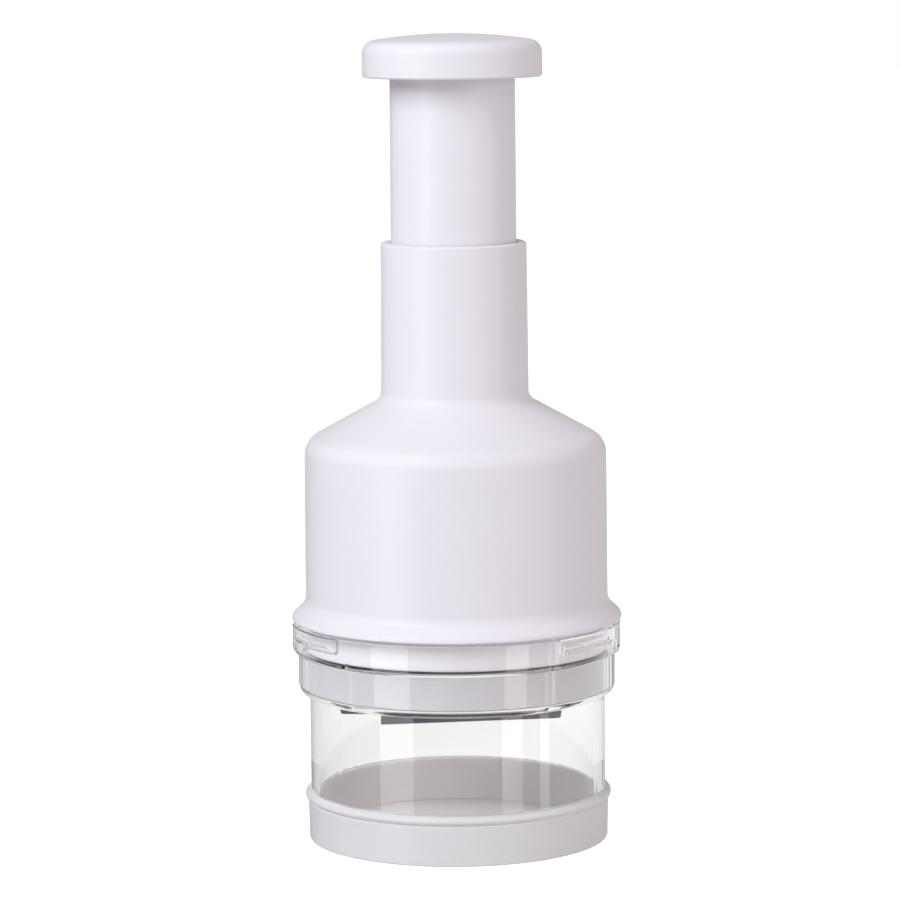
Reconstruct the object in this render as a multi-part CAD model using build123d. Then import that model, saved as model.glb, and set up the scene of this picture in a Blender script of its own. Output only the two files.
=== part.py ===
"""Plunger food chopper with a turning zigzag blade, a clear bayonet chamber and a pull-off base cup.

Units are millimetres, +Z is up and the origin is the centre of the underside of the base cup.
Pressing the knob drives the blade through the slotted guard to just above the floor of the cup.
The return spring lifts it again, and two toothed crowns turn the blade by one tooth at the top.
"""
from build123d import *
from math import asin, degrees, radians, sin, sqrt
import os

# Fits between pieces
clearance = 0.3           # between pieces that move past or lift off each other
running_fit = 0.08        # radial play of the shaft in its bush and in the plunger

# Stroke
stroke = 36.0             # travel of the knob
blade_floor_gap = 0.8     # cutting edge above the cup floor when the knob is fully down
holder_landing_gap = 0.5  # blade holder above the guard plate when the knob is fully down

# Base cup
cup_draft = 0.25
cup_height = 14.4
cup_wall = 1.7
cup_floor = 1.4
foot_height = 0.6
foot_width = 4.5
foot_round = 0.5
bead_rise = 0.85
bead_height = 2.6

# Clear chamber: plain jar, wider guard band, widest bayonet collar
jar_wall = 2.4
jar_height = 28.3         # from the rim of the cup to the underside of the guard band
lip_wall = 1.0            # wall of the jar's lip, which the cup is pushed on
band_height = 12.3
band_wall = 2.3
band_step = 3.0           # from the jar out to the band, all of it a quarter round
band_seat = 2.2           # thickness of the ledge that carries the guard
collar_height = 9.05
collar_wall = 2.2
collar_round = 1.5
collar_ledge = 0.9        # rise of the collar's inner ledge above its outer step

# Bayonet: three stations, each a pad outside and a round-ended hook bar inside the collar
station_count = 3
station_angle = 85.9      # direction of the first station, anticlockwise from +X
lug_rise = 1.4
lug_height = 1.2
lug_sink = 0.6            # root of the lug inside the skirt wall
hook_height = 1.2
hook_drop = 2.3           # from the rim of the collar to the top of the hook bar
hook_start = -15.0        # angles from the middle of the station
hook_end = 12.0
stop_angle = 1.3          # stop that hangs from the closed end of the hook bar
lug_gap_angle = 0.6       # between the lug and the stop
pad_rise = 0.4
pad_angle = 38.1
pad_drop = 4.7
pad_round = 1.5
rib_angle = 44.7          # between the two grip ribs of one station
rib_width = 1.0
rib_rise = 0.3            # of the rib above the guard band
rib_slope = 1.6           # height of the slope from the collar down to the band
rib_foot = 0.4            # of the rib above the foot of the band

# Housing
skirt_radius = 44.0
rim_gap = 0.9             # between the flange and the rim of the collar
skirt_drop = 8.7          # from the flange down to the foot of the skirt
flange_rise = 4.3
flange_height = 4.9
flange_bulge = 0.75       # of the flange's round outside beyond its chord
housing_wall = 2.2
body_height = 47.25       # wall from the top of the flange to the shoulder edge
body_draft = 0.25         # how much wider the wall is at the flange
shoulder_round = 6.0
shoulder_rise = 12.4
neck_round = 3.5
neck_radius = 21.5
neck_length = 45.4
neck_draft = 0.35
neck_rim_round = 0.8
guide_wall = 2.9          # wall of the neck round the guide bore
guide_length = 32.9
boss_circle = 31.0
boss_radius = 3.5
pilot_depth = 11.0

# Plunger and knob
stem_wall = 1.8
stem_draft = 0.2
stem_flange_rise = 1.3
stem_flange_height = 3.0
knob_gap = 47.7           # visible stem between the neck and the knob
knob_radius = 26.0
knob_height = 12.4
knob_dome = 2.3
knob_round = 3.7
knob_wall = 2.2
knob_roof = 2.4
socket_wall = 1.9
socket_lift = 1.6
snap_rise = 0.25
snap_height = 1.2
snap_drop = 2.6
crosswall_depth = 15.0    # crosswall top below the roof of the knob
crosswall = 3.0

# Blade guard
guard_height = 10.1
guard_wall = 1.6
guard_plate = 1.8

# Zigzag blade
blade_thickness = 0.6
inner_row = 10.0          # straight runs of the strip, from the middle outwards
middle_row = 19.0
outer_row = 29.0
bend_width = 5.0
bend_radius = 2.0
bevel_height = 1.2
edge_flat = 0.1

# Blade holder and its crown
grip_depth = 2.2          # how far the blade stands in the holder's ribs
grip_wall = 1.2
holder_gap = 3.9          # between the holder and the wall of the housing
holder_rim_gap = 1.7      # rim of the holder outside the reach of the blade
holder_disc = 1.8
holder_rim_height = 2.0
holder_rim_width = 1.8
crown_bore_radius = 13.0
crown_radius = 19.0
crown_floor = 1.7
tooth_count = 12
tooth_gap_angle = 1.2
tooth_slope = 0.36
hub_radius = 7.0
hub_height = 5.2
pin_radius = 1.0
pin_height = 3.4
crown_screw_circle = 10.0
crown_screw_radius = 1.2
crown_screw_length = 2.6
crown_head_radius = 2.3
crown_head_height = 1.4

# Shaft, bush and guide plate
shaft_radius = 3.0
journal_radius = 2.5
groove_radius = 2.0
shaft_tip = 1.6
collar_ring_radius = 4.6
collar_ring_height = 2.5
clip_radius = 4.6
clip_thickness = 0.8
washer_radius = 6.0
washer_thickness = 0.8
ring_floor = 1.4
stake_circle = 16.0
stake_radius = 1.0
plate_thickness = 2.0
plate_rim_width = 1.6
plate_rib_height = 4.0
plate_rib_width = 1.6
window_inner_radius = 21.0
window_margin = 5.5       # from the window out to the edge of the plate
window_angle = 56.0
sleeve_radius = 7.2
sleeve_height = 22.0
bush_wall = 1.5
bush_flange_rise = 1.6
bush_flange = 0.8
screw_radius = 1.3
screw_length = 10.0
screw_head_radius = 2.6
screw_head_height = 1.8
driver_radius = 1.2
driver_depth = 0.8

# Return spring
spring_radius = 11.0
wire_radius = 0.65
spring_turns = 10
seat_thickness = 0.8
seat_inner_radius = 8.4
seat_radius = 13.5

# Heights that follow from the sizes above, from the bench upwards
floor_z = foot_height + cup_floor
jar_foot_z = floor_z + clearance
jar_step_z = cup_height + clearance
band_z = jar_step_z + jar_height
collar_z = band_z + band_height
guard_seat_z = band_z + band_seat
ledge_z = collar_z + collar_ledge
rim_z = collar_z + collar_height
guard_z = guard_seat_z + clearance
flange_z = rim_z + rim_gap
skirt_foot_z = flange_z - skirt_drop
flange_top_z = flange_z + flange_height
shoulder_z = flange_top_z + body_height
neck_z = shoulder_z + shoulder_rise
neck_top_z = neck_z + neck_length
guide_z = neck_top_z - guide_length
hook_z = rim_z - hook_drop - hook_height
lug_z = hook_z - clearance - lug_height
knob_z = neck_top_z + knob_gap
knob_top_z = knob_z + knob_height
roof_z = knob_top_z - knob_dome - knob_roof
crosswall_top_z = roof_z - crosswall_depth
crosswall_z = crosswall_top_z - crosswall
stem_foot_z = guide_z - clearance - stem_flange_height
edge_z = floor_z + blade_floor_gap + stroke
holder_z = guard_z + guard_plate + holder_landing_gap + stroke
disc_z = holder_z + grip_depth
crown_z = disc_z + holder_disc
tooth_angle = 360.0 / tooth_count
tooth_half = (tooth_angle - tooth_gap_angle) / 2
tooth_rise = tooth_slope * crown_radius * sin(radians(tooth_half))
tooth_mid_z = crown_z + crown_floor + tooth_rise
ring_mid_z = tooth_mid_z + clearance * sqrt(1 + tooth_slope**2)
plate_z = ring_mid_z + tooth_rise + ring_floor
plate_top_z = plate_z + plate_thickness
sleeve_top_z = plate_top_z + sleeve_height
spring_foot_z = plate_top_z + seat_thickness
spring_head_z = crosswall_z - seat_thickness

# Radii that follow from the skirt of the housing
lug_radius = skirt_radius + lug_rise
collar_bore_radius = lug_radius + clearance
collar_radius = collar_bore_radius + collar_wall
band_bore_radius = skirt_radius
band_radius = band_bore_radius + band_wall
guard_radius = band_bore_radius - clearance
jar_radius = band_radius - band_step
jar_bore_radius = jar_radius - jar_wall
lip_radius = jar_bore_radius + lip_wall
cup_bore_radius = lip_radius + clearance
cup_radius = cup_bore_radius + cup_wall
flange_radius = skirt_radius + flange_rise
housing_bore_radius = skirt_radius - housing_wall
pad_radius = collar_radius + pad_rise
guide_radius = neck_radius - guide_wall
stem_radius = guide_radius - clearance
stem_top_radius = stem_radius - stem_draft
stem_bore_radius = stem_top_radius - stem_wall
stem_flange_radius = stem_radius + stem_flange_rise
counterbore_radius = stem_flange_radius + clearance
plate_radius = housing_bore_radius - clearance
window_outer_radius = plate_radius - window_margin
holder_radius = housing_bore_radius - holder_gap
blade_reach = holder_radius - holder_rim_gap
blade_rows = (-outer_row, -middle_row, -inner_row, inner_row, middle_row, outer_row)
bush_bore_radius = shaft_radius + running_fit
bush_radius = bush_bore_radius + bush_wall
crosswall_bore_radius = journal_radius + running_fit
station_pitch = 360.0 / station_count


def outline(*points, bulge=None, rounds=()):
    """Flat closed outline; bulge is the middle of the arc from its last point back to its first.

    rounds holds (point, radius) for each corner that is rounded.
    """
    closing = ThreePointArc(points[-1], bulge, points[0]) if bulge else Line(points[-1], points[0])
    face = make_face(Polyline(*points).edges() + [closing])
    for point, radius in rounds:
        corner = face.vertices().sort_by_distance(Vector(*point, 0))[0]
        face = fillet(corner, radius)
    return face


def turned(face):
    """Body of revolution about Z from an outline drawn in (radius, height)."""
    return revolve(Plane.XZ * face, Axis.Z)


def ring(inner, outer, low, high):
    """Plain turned ring, or a disc where inner is nought."""
    return turned(outline((inner, low), (outer, low), (outer, high), (inner, high)))


def arc_block(inner, outer, low, high, start, span):
    """Stretch of a ring from the angle start over the angle span, anticlockwise."""
    section = outline((inner, low), (outer, low), (outer, high), (inner, high))
    return Rot(0, 0, start) * revolve(Plane.XZ * section, Axis.Z, span)


def upright(radius, low, high, x=0.0, y=0.0):
    """Upright cylinder between two heights."""
    return Pos(x, y, (low + high) / 2) * Cylinder(radius, high - low)


def round_about(solid, count, first=0.0):
    """Copies of a solid spaced evenly about Z."""
    return [Rot(0, 0, first + 360.0 / count * number) * solid for number in range(count)]


def base_cup():
    """Pull-off cup with a half-round bead on its rim and a raised foot ring."""
    top_radius = cup_radius + cup_draft
    bead_z = cup_height - bead_height
    foot_corner = (cup_radius, 0)
    face = outline(
        (top_radius, cup_height),
        (cup_bore_radius, cup_height),
        (cup_bore_radius, floor_z),
        (0, floor_z),
        (0, foot_height),
        (cup_radius - foot_width, foot_height),
        (cup_radius - foot_width, 0),
        foot_corner,
        (top_radius, bead_z),
        bulge=(top_radius + bead_rise, cup_height - bead_height / 2),
        rounds=((foot_corner, foot_round),),
    )
    return turned(face)


def chamber_body():
    """Stepped wall of the clear chamber, without its bayonet details."""
    band_corner = (band_radius, band_z)
    collar_corner = (collar_radius, collar_z)
    face = outline(
        (lip_radius, jar_foot_z),
        (lip_radius, jar_step_z),
        (jar_radius, jar_step_z),
        (jar_radius, band_z),
        band_corner,
        (band_radius, collar_z),
        collar_corner,
        (collar_radius, rim_z),
        (collar_bore_radius, rim_z),
        (collar_bore_radius, ledge_z),
        (band_bore_radius, ledge_z),
        (band_bore_radius, guard_seat_z),
        (jar_bore_radius, guard_seat_z),
        (jar_bore_radius, jar_foot_z),
        rounds=((band_corner, band_step), (collar_corner, collar_round)),
    )
    return turned(face)


def bayonet_pad():
    """Raised pad on the outside of the collar, with its lower corners rounded."""
    inside = collar_radius - collar_wall / 2
    pad = arc_block(inside, pad_radius, rim_z - pad_drop, rim_z, -pad_angle / 2, pad_angle)
    corners = pad.edges().filter_by(GeomType.LINE).group_by(Axis.Z)[0]
    return fillet(corners, pad_round)


def bayonet_hook():
    """Inner bar that hangs on the housing's lug, with the stop below its closed end."""
    bore = skirt_radius + clearance
    root = collar_bore_radius + collar_wall / 4
    end_radius = hook_height / 2
    end_angle = degrees(end_radius / bore)
    start = hook_start + end_angle
    span = hook_end - hook_start - 2 * end_angle
    bar = arc_block(bore, root, hook_z, hook_z + hook_height, start, span)
    end = Pos((bore + root) / 2, 0, hook_z + end_radius) * Rot(0, 90, 0)
    end = end * Cylinder(end_radius, root - bore)
    stop = arc_block(bore, root, lug_z, hook_z + end_radius, start - end_angle / 2, stop_angle)
    return bar + [Rot(0, 0, angle) * end for angle in (start, start + span)] + stop


def grip_rib():
    """Upright rib that runs down the collar and over its step to the foot of the guard band."""
    rib_top = rim_z - pad_drop / 2
    root = band_radius - band_wall / 2
    profile = outline(
        (jar_radius, band_z + rib_foot),
        (band_radius + rib_rise, band_z + rib_foot),
        (band_radius + rib_rise, collar_z - rib_slope),
        (pad_radius, collar_z),
        (pad_radius, rib_top),
        (root, rib_top),
        (root, band_z + band_step),
    )
    blade = extrude(Plane.XZ * profile, amount=rib_width / 2, both=True)
    return blade - ring(0, collar_radius - collar_wall / 2, collar_z, rim_z)


def chopping_chamber():
    """Clear chamber: jar, guard band and bayonet collar in one moulding."""
    chamber = chamber_body()
    pads = round_about(bayonet_pad(), station_count, station_angle)
    ribs = [Rot(0, 0, side * rib_angle / 2) * grip_rib() for side in (-1, 1)]
    for rib in ribs:
        pads += round_about(rib, station_count, station_angle)
    hooks = round_about(bayonet_hook(), station_count, station_angle)
    return chamber + pads + hooks


def housing():
    """White upper shell: skirt, flange, body, sloping shoulder and guide neck."""
    slope = Vector(neck_radius - skirt_radius, shoulder_rise).normalized()
    drop = housing_wall / abs(slope.X)
    cone = shoulder_rise / (skirt_radius - neck_radius)
    shoulder = (skirt_radius, shoulder_z)
    neck_foot = (neck_radius, neck_z)
    neck_rim = (neck_radius - neck_draft, neck_top_z)
    inner_shoulder = (housing_bore_radius, shoulder_z + housing_wall * cone - drop)
    inner_neck = (counterbore_radius, neck_z + (neck_radius - counterbore_radius) * cone - drop)
    flare = flange_rise - body_draft
    outward = Vector(flange_height, flare).normalized() * flange_bulge
    flange_middle = (flange_radius - flare / 2 + outward.X, flange_z + flange_height / 2 + outward.Y)
    outside = outline(
        (skirt_radius + body_draft, flange_top_z),
        shoulder,
        neck_foot,
        neck_rim,
        (0, neck_top_z),
        (0, skirt_foot_z),
        (skirt_radius, skirt_foot_z),
        (skirt_radius, flange_z),
        (flange_radius, flange_z),
        bulge=flange_middle,
        rounds=((shoulder, shoulder_round), (neck_foot, neck_round), (neck_rim, neck_rim_round)),
    )
    cavity = outline(
        (0, skirt_foot_z),
        (housing_bore_radius, skirt_foot_z),
        inner_shoulder,
        inner_neck,
        (counterbore_radius, guide_z),
        (guide_radius, guide_z),
        (guide_radius, neck_top_z),
        (0, neck_top_z),
        rounds=((inner_shoulder, shoulder_round - housing_wall),),
    )
    solid = turned(outside)
    pillar = upright(boss_radius, plate_top_z, neck_z, boss_circle)
    pilot = upright(screw_radius, plate_top_z, plate_top_z + pilot_depth, boss_circle)
    lug_start = hook_start + stop_angle + lug_gap_angle
    lug = arc_block(
        skirt_radius - lug_sink, lug_radius, lug_z, lug_z + lug_height, lug_start, hook_end - lug_start
    )
    shell = solid - turned(cavity)
    shell += [pillar & solid for pillar in round_about(pillar, station_count)]
    shell += round_about(lug, station_count, station_angle)
    return shell - round_about(pilot, station_count)


def guide_plate():
    """Spoked plate below the shoulder, with the sleeve that guides the blade shaft."""
    plate = ring(0, plate_radius, plate_z, plate_top_z)
    rim = ring(plate_radius - plate_rim_width, plate_radius, plate_top_z, plate_top_z + plate_rib_height)
    sleeve = ring(0, sleeve_radius, plate_top_z, sleeve_top_z)
    length = plate_radius - seat_radius - plate_rim_width
    web_height = plate_rib_height - clearance
    web = Pos(seat_radius + clearance + length / 2, 0, plate_top_z + web_height / 2)
    web = web * Box(length, plate_rib_width, web_height)
    window = arc_block(
        window_inner_radius, window_outer_radius, plate_z, plate_top_z, -window_angle / 2, window_angle
    )
    middle = station_pitch / 2
    side = window_angle / 2 + plate_rib_width
    plate += [rim, sleeve]
    for angle in (middle - side, middle + side):
        plate += round_about(web, station_count, angle)
    plate -= round_about(window, station_count, middle)
    plate -= round_about(upright(screw_radius, plate_z, plate_top_z, boss_circle), station_count)
    plate -= round_about(upright(stake_radius, plate_z, plate_top_z, stake_circle), station_count)
    return plate - upright(bush_radius, plate_z, sleeve_top_z)


def pan_screw(shank_radius, length, head_radius, head_height):
    """Screw standing head down with the underside of its head at the origin."""
    head = Pos(0, 0, -head_height) * extrude(Circle(head_radius), head_height)
    rim = head.edges().group_by(Axis.Z)[0]
    head = fillet(rim, head_height / 2)
    driver = Pos(0, 0, -head_height) * extrude(RegularPolygon(driver_radius, 6), driver_depth)
    return head - driver + extrude(Circle(shank_radius), length)


def guide_plate_screws():
    """Screws that hold the guide plate to the bosses of the housing."""
    screw = pan_screw(screw_radius, screw_length, screw_head_radius, screw_head_height)
    return Compound(round_about(Pos(boss_circle, 0, plate_z) * screw, station_count))


def sawteeth(low, high, middle_z, waste_side):
    """Ring of sawteeth between two heights; waste_side is 1 for teeth that point up, else -1."""
    block = arc_block(crown_bore_radius, crown_radius, low, high, -tooth_half, 2 * tooth_half)
    face = Plane(origin=(0, 0, middle_z), x_dir=(1, 0, 0), z_dir=(0, -tooth_slope, 1))
    size = 4 * crown_radius
    waste = face * Pos(0, 0, waste_side * size / 2) * Box(size, size, size)
    return round_about(block - waste, tooth_count)


def index_ring():
    """Fixed upper crown under the guide plate, held by heat-staked pins."""
    root_z = plate_z - ring_floor
    crown = ring(crown_bore_radius, crown_radius, root_z, plate_z)
    crown += sawteeth(ring_mid_z - tooth_rise, root_z, ring_mid_z, -1)
    stake = upright(stake_radius, root_z, plate_top_z, stake_circle)
    return crown + round_about(stake, station_count)


def index_crown():
    """Moving lower crown with the hub that is pinned to the shaft."""
    root_z = crown_z + crown_floor
    crown = ring(0, crown_radius, crown_z, root_z)
    crown += sawteeth(root_z, tooth_mid_z + tooth_rise, tooth_mid_z, 1)
    crown += upright(hub_radius, crown_z, crown_z + hub_height)
    crown -= upright(shaft_radius, crown_z, crown_z + hub_height)
    hole = upright(crown_screw_radius, crown_z, root_z, crown_screw_circle)
    return crown - round_about(hole, station_count) - shaft_pin()


def crown_screws():
    """Screws that hold the crown to the blade holder."""
    screw = pan_screw(crown_screw_radius, crown_screw_length, crown_head_radius, crown_head_height)
    seat = Pos(crown_screw_circle, 0, crown_z + crown_floor) * Rot(180, 0, 0)
    return Compound(round_about(seat * screw, station_count))


def shaft_pin():
    """Cross pin through the hub and the shaft."""
    return Pos(0, 0, crown_z + pin_height) * Rot(0, 90, 0) * Cylinder(pin_radius, 2 * hub_radius)


def blade_shaft():
    """Steel shaft from the crown's hub to the clip above the plunger's crosswall."""
    ring_z = crosswall_z - clearance
    groove_z = crosswall_top_z + washer_thickness + clearance
    tip_z = groove_z + clip_thickness + shaft_tip
    shaft = upright(shaft_radius, crown_z, ring_z)
    shaft += upright(collar_ring_radius, ring_z - collar_ring_height, ring_z)
    shaft += upright(journal_radius, ring_z, tip_z)
    shaft -= ring(groove_radius, journal_radius, groove_z, groove_z + clip_thickness)
    return shaft - shaft_pin()


def shaft_clip():
    """Open spring clip in the groove near the top of the shaft."""
    mouth = Pos(clip_radius / 2, 0) * Rectangle(clip_radius, 2 * groove_radius)
    face = Circle(clip_radius) - Circle(groove_radius) - mouth
    return Pos(0, 0, crosswall_top_z + washer_thickness + clearance) * extrude(face, clip_thickness)


def thrust_washer():
    """Washer on the crosswall under the clip."""
    low = crosswall_top_z
    return ring(crosswall_bore_radius, washer_radius, low, low + washer_thickness)


def shaft_bush():
    """Flanged bush pressed into the sleeve of the guide plate."""
    tube = ring(bush_bore_radius, bush_radius, plate_z, sleeve_top_z)
    return tube + ring(bush_bore_radius, bush_radius + bush_flange_rise, plate_z - bush_flange, plate_z)


def spring_seat(low):
    """Steel seat washer for one end of the return spring."""
    return ring(seat_inner_radius, seat_radius, low, low + seat_thickness)


def return_spring():
    """Compression spring round the sleeve, from the lower seat to the upper seat."""
    height = spring_head_z - spring_foot_z - 2 * wire_radius
    path = Helix(height / spring_turns, height, spring_radius)
    wire = Plane(origin=path @ 0, z_dir=path % 0) * Circle(wire_radius)
    coil = sweep(wire, path, is_frenet=True)
    return Pos(0, 0, spring_foot_z + wire_radius) * coil


def plunger_tube():
    """Hollow stem with a stop flange at its foot and a crosswall under the knob."""
    snap_z = roof_z - snap_drop
    flange_top = stem_foot_z + stem_flange_height
    stem = outline(
        (stem_bore_radius, stem_foot_z),
        (stem_flange_radius, stem_foot_z),
        (stem_flange_radius, flange_top),
        (stem_radius, flange_top),
        (stem_top_radius, knob_z),
        (stem_top_radius, snap_z - snap_height),
        (stem_top_radius + snap_rise, snap_z - snap_height / 2),
        (stem_top_radius, snap_z),
        (stem_top_radius, roof_z),
        (stem_bore_radius, roof_z),
    )
    wall = ring(crosswall_bore_radius, stem_bore_radius + stem_wall / 2, crosswall_z, crosswall_top_z)
    return turned(stem) + wall


def knob():
    """Domed palm knob with a socket that snaps over the top of the stem."""
    sphere_radius = (knob_radius**2 + knob_dome**2) / (2 * knob_dome)
    dome_angle = degrees(asin(knob_radius / sphere_radius))
    dome = CenterArc((0, knob_top_z - sphere_radius), sphere_radius, 90 - dome_angle, dome_angle)
    shoulder = (knob_radius, knob_top_z - knob_dome)
    skirt_bore = knob_radius - knob_wall
    socket_radius = stem_top_radius + socket_wall
    socket_z = knob_z + socket_lift
    snap_z = roof_z - snap_drop
    inside = Polyline(
        (0, knob_top_z),
        (0, roof_z),
        (stem_top_radius, roof_z),
        (stem_top_radius, snap_z),
        (stem_top_radius + snap_rise, snap_z - snap_height / 2),
        (stem_top_radius, snap_z - snap_height),
        (stem_top_radius, socket_z),
        (socket_radius, socket_z),
        (socket_radius, roof_z),
        (skirt_bore, roof_z),
        (skirt_bore, knob_z),
        (knob_radius, knob_z),
        shoulder,
    )
    face = make_face(inside.edges() + [dome])
    corner = face.vertices().sort_by_distance(Vector(*shoulder, 0))[0]
    return turned(fillet(corner, knob_round))


def zigzag_path(end_gap=0.0):
    """Centre line of the blade seen from above; end_gap makes both ends longer."""
    points = []
    for number, row in enumerate(blade_rows):
        side = 1 if number % 2 else -1
        if number in (0, len(blade_rows) - 1):
            points.append((side * (sqrt(blade_reach**2 - row**2) + end_gap), row))
            continue
        bend_x = sqrt(blade_reach**2 - (abs(row) + bend_width / 2) ** 2)
        points.append((side * bend_x, row - bend_width / 2))
        points.append((side * bend_x, row + bend_width / 2))
    return FilletPolyline(*points, radius=bend_radius)


def zigzag_wall(section, path):
    """Solid that carries a section, drawn in (across, height), along the zigzag."""
    start = path @ 0
    along = path % 0
    across = Vector(-along.Y, along.X, 0)
    return sweep(Plane(origin=start, x_dir=across, z_dir=across.cross(Vector(0, 0, 1))) * section, path)


def plain_section(width, low, high):
    """Upright rectangle for a wall along the zigzag."""
    return Pos(0, (low + high) / 2) * Rectangle(width, high - low)


def zigzag_blade():
    """One stainless strip folded into a zigzag, with its lower edge ground to a bevel."""
    half = blade_thickness / 2
    section = outline(
        (-half, disc_z),
        (-half, edge_z + bevel_height),
        (-edge_flat / 2, edge_z),
        (edge_flat / 2, edge_z),
        (half, edge_z + bevel_height),
        (half, disc_z),
    )
    return zigzag_wall(section, zigzag_path())


def blade_holder():
    """Holder disc with zigzag ribs on its underside that grip the top of the blade."""
    disc = ring(0, holder_radius, disc_z, crown_z)
    rim = ring(holder_radius - holder_rim_width, holder_radius, crown_z, crown_z + holder_rim_height)
    grip = plain_section(blade_thickness + 2 * grip_wall, holder_z, disc_z)
    ribs = zigzag_wall(grip, zigzag_path(grip_wall))
    groove = zigzag_wall(plain_section(blade_thickness, holder_z, disc_z), zigzag_path())
    hole_foot_z = crown_z + crown_floor - crown_screw_length
    hole = upright(crown_screw_radius, hole_foot_z, crown_z, crown_screw_circle)
    return disc + rim + ribs - groove - round_about(hole, station_count)


def blade_guard():
    """Turning guard in the chamber's band: a ring with a floor slotted for the blade."""
    low = guard_z
    floor = ring(0, guard_radius, low, low + guard_plate)
    wall = ring(guard_radius - guard_wall, guard_radius, low, low + guard_height)
    slot = plain_section(blade_thickness + 2 * clearance, low, low + guard_plate)
    return floor + wall - zigzag_wall(slot, zigzag_path(clearance))


parts = {
    "base_cup": base_cup(),
    "chopping_chamber": chopping_chamber(),
    "housing": housing(),
    "guide_plate": guide_plate(),
    "guide_plate_screws": guide_plate_screws(),
    "index_ring": index_ring(),
    "shaft_bush": shaft_bush(),
    "lower_spring_seat": spring_seat(plate_top_z),
    "upper_spring_seat": spring_seat(spring_head_z),
    "return_spring": return_spring(),
    "plunger_tube": plunger_tube(),
    "knob": knob(),
    "thrust_washer": thrust_washer(),
    "shaft_clip": shaft_clip(),
    "blade_shaft": blade_shaft(),
    "shaft_pin": shaft_pin(),
    "index_crown": index_crown(),
    "crown_screws": crown_screws(),
    "blade_holder": blade_holder(),
    "zigzag_blade": zigzag_blade(),
    "blade_guard": blade_guard(),
}

os.makedirs("parts", exist_ok=True)
for name, shape in parts.items():
    export_step(shape, f"parts/{name}.step")
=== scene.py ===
"""Plunger food chopper: finishes and finely rounded shapes around its fixed frame.

Every piece of the chopper has its own operator, and one more sets up the studio.
Heights are above the worktop and radii are from the plunger axis.
"""
import math

import bmesh
import bpy
from mathutils import Matrix, Vector


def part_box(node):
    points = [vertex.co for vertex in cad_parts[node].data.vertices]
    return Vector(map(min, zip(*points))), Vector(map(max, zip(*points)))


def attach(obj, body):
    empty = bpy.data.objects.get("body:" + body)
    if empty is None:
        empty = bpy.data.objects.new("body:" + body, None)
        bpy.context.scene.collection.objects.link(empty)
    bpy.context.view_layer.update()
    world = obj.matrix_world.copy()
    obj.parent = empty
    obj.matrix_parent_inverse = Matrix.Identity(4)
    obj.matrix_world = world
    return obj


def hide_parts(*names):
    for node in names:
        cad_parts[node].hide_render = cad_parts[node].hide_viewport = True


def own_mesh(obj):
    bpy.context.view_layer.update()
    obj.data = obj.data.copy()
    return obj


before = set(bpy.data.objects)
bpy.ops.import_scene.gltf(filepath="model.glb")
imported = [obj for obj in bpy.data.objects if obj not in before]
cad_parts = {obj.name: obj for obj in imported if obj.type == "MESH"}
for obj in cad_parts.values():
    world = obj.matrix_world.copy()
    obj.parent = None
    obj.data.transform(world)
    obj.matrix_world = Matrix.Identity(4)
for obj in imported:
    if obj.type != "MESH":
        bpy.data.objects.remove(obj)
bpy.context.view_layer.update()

bl_info = {
    "name": "Plunger food chopper",
    "version": (1, 0, 0),
    "blender": (4, 5, 0),
    "location": "3D View > Sidebar > Chopper",
    "description": "Builds the finished pieces of a press-down food chopper and the studio around it",
    "category": "Mesh",
}

MM = 0.001
UP = Vector((0, 0, 1))
NEAR = 1e-5               # two places this close, in metres or radians, are the same
MERGE = 1e-6              # corners this close, in metres, become one
TURN_STEPS = 192          # flats round a full turn
ROUND_STEPS = 6           # flats round a moulded corner
SHARP_ANGLE = math.radians(35)     # edges bent further than this stay sharp
# Rounds of moulded corners, from crisp to soft
CRISP = 0.2 * MM
FINE = 0.3 * MM
EASED = 0.4 * MM
SOFT = 0.5 * MM
# The chamber's wall
STATIONS = 3              # bayonet stations round the collar
WIDEST_STEP = math.radians(1.9)    # widest flat
WALL_SLACK = 0.1 * MM     # the middle of a flat lies no further than this inside the round wall
SEAM = 0.005 * MM         # corners this close on either side of the wall's seam are one
PAD_STEPS = 3             # flats round a lower corner of a pad
HOOK_STEPS = 2            # flats round a quarter of a hook bar's end
RIB_FLAT = 0.45           # share of a rib's width that is flat
# The studio
AIM_HEIGHT = 0.12         # middle of the chopper
FLOOR_GAP = 0.05 * MM     # keeps the floor clear of the foot ring


# Colours and sizes that can be set

def linear(code):
    """Linear colour of an sRGB hex code."""
    parts = [int(code[place:place + 2], 16) / 255 for place in (0, 2, 4)]
    return tuple(part / 12.92 if part <= 0.04045 else ((part + 0.055) / 1.055) ** 2.4 for part in parts)


def colour(name, description, code):
    """Colour property that starts at an sRGB hex code."""
    return bpy.props.FloatVectorProperty(
        name=name, description=description, default=linear(code), size=3, min=0, max=1, subtype="COLOR")


def length(name, description, millimetres):
    """Length property that starts at a size in millimetres."""
    return bpy.props.FloatProperty(
        name=name, description=description, default=millimetres * MM, min=0, precision=4, unit="LENGTH")


def degrees(name, description, turn):
    """Angle property that starts at a number of degrees."""
    return bpy.props.FloatProperty(
        name=name, description=description, default=math.radians(turn), subtype="ANGLE")


def number(name, description, value):
    """Plain property that is never negative."""
    return bpy.props.FloatProperty(name=name, description=description, default=value, min=0)


class ChopperColours(bpy.types.PropertyGroup):
    """Colours of the chopper's plastics and steels."""

    shell: colour("Shell", "White ABS of the knob, stem and housing", "EDE8EE")
    guard: colour("Guard", "Greyer polypropylene of the guard and holder", "CDC9CE")
    cup: colour("Cup", "Polypropylene of the base cup", "E3E0E1")
    acetal: colour("Acetal", "Natural acetal of the bush and crowns", "E4E0D4")
    clear: colour("Clear", "Clear SAN of the chamber", "FDFDFC")
    # The strip's colour is far darker than bright steel: painted shade and painted dark reflection, for the
    # shade under the guard and the dark parts the strip mirrors
    blade: colour("Blade", "Cold-rolled stainless strip", "40444A")
    steel: colour("Steel", "Bright turned stainless", "A9ABAD")
    spring: colour("Spring", "Drawn spring wire", "8E9194")


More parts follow.
